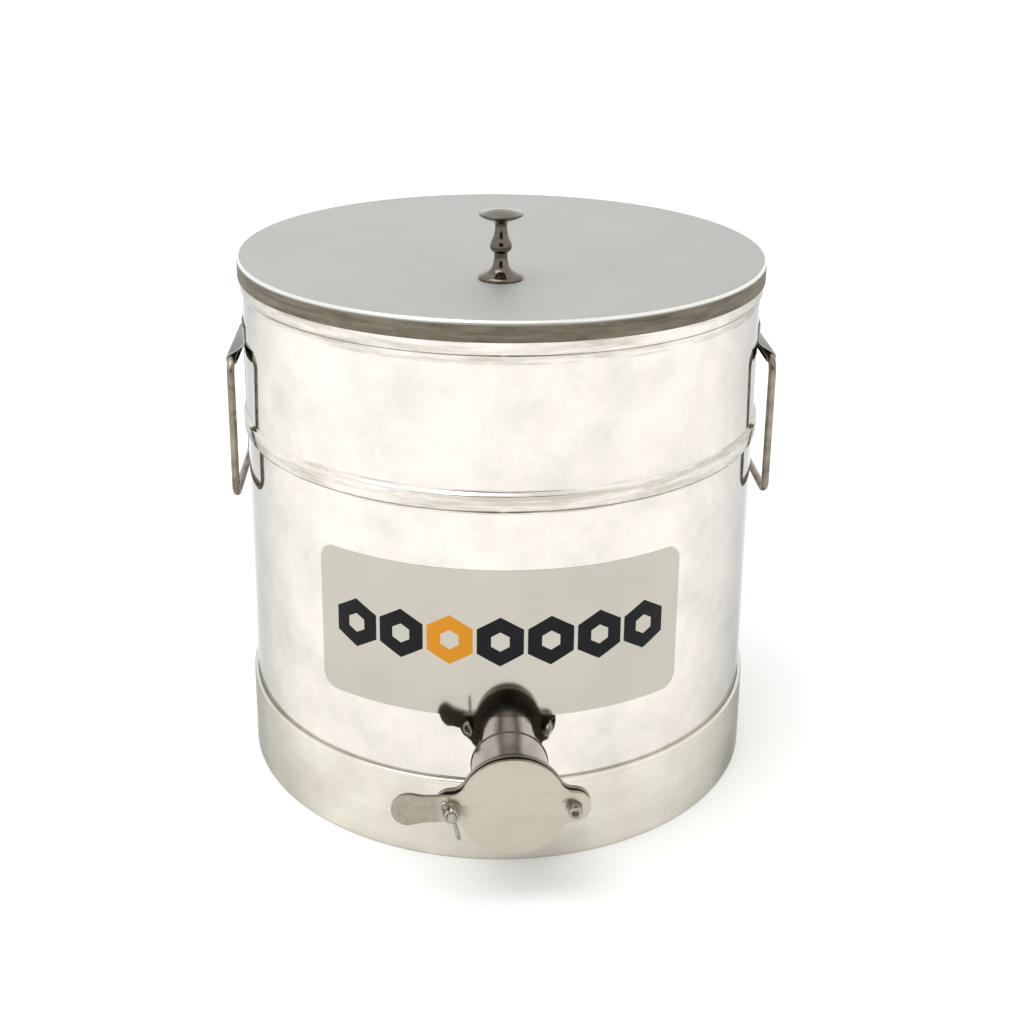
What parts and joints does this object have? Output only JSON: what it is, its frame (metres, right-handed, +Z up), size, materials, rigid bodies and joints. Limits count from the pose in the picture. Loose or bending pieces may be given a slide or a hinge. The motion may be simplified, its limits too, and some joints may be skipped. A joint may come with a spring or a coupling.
{
  "type": "honey tank",
  "caption": "Round stainless honey tank with a lift-off lid and knob, drop handles at the sides, a base skirt and a swing-blade honey gate at the foot.",
  "frame": {"origin": "middle of the whole object's footprint, on the surface it stands on; the tank's own vertical axis is 32 mm behind it", "axes": "+Z up, -Y the way the honey gate points, +X to the right of someone who faces the gate; the handles are at -X and +X"},
  "size_m": [0.4232, 0.4734, 0.463],
  "materials": {
    "tank_shell": "stainless sheet, bright rolled, near mirror",
    "satin_steel": "stainless sheet, satin",
    "skirt_steel": "stainless sheet, fine satin, warm grey",
    "lid_steel": "stainless sheet, dull rolled",
    "knob_metal": "turned and polished",
    "rod_steel": "drawn stainless rod",
    "gate_steel": "laser-cut stainless plate, satin",
    "tube_steel": "turned and polished stainless tube",
    "fastener_steel": "bright stainless fasteners",
    "seal_rubber": "black nitrile sheet",
    "label_film": null
  },
  "bodies": {
    "tank": {"tank_shell": "tank_shell", "base_skirt": "skirt_steel", "tank_floor": "satin_steel", "front_label": "label_film", "right_handle_bracket": "satin_steel", "left_handle_bracket": "satin_steel", "gate_tube": "tube_steel", "gate_flange": "satin_steel", "gate_seal": "seal_rubber", "pivot_spacer": "fastener_steel", "lock_spacer": "fastener_steel", "pivot_spring_washer": "fastener_steel", "pivot_screw": "fastener_steel", "pivot_cap_nut": "fastener_steel", "lock_screw": "fastener_steel"},
    "lid": {"lid_pan": "lid_steel", "lid_knob": "knob_metal", "lid_knob_washer": "fastener_steel", "lid_knob_screw": "fastener_steel"},
    "left_handle": {"left_handle_ring": "rod_steel"},
    "right_handle": {"right_handle_ring": "rod_steel"},
    "blade": {"gate_blade": "gate_steel"},
    "washer": {"lock_washer": "fastener_steel"},
    "wing_nut": {"lock_wing_nut": "fastener_steel"}
  },
  "joints": [
    {"name": "lid_lift", "type": "slide", "parent": "tank", "child": "lid", "axis": [0, 0, 1], "range_m": [0, 0.2]},
    {"name": "left_handle_swing", "type": "hinge", "parent": "tank", "child": "left_handle", "pos_m": [-0.207, 0.03265, 0.335], "axis": [0, 1, 0], "range_deg": [0, 170]},
    {"name": "right_handle_swing", "type": "hinge", "parent": "tank", "child": "right_handle", "pos_m": [0.207, 0.03265, 0.335], "axis": [0, -1, 0], "range_deg": [0, 170]},
    {"name": "gate_swing", "type": "hinge", "parent": "tank", "child": "blade", "pos_m": [0.0425, -0.21935, 0.0775], "axis": [0, 1, 0], "range_deg": [0, 100]},
    {"name": "wing_nut_travel", "type": "slide", "parent": "tank", "child": "washer", "axis": [0, -1, 0], "range_m": [0, 0.003]},
    {"name": "wing_nut_turn", "type": "hinge", "parent": "washer", "child": "wing_nut", "pos_m": [-0.0425, -0.22735, 0.0775], "axis": [0, -1, 0], "range_deg": [0, 1080]}
  ],
  "couplings": [
    {"joint": "wing_nut_travel", "follows": "wing_nut_turn", "m_per_rad": 0.00015915}
  ]
}
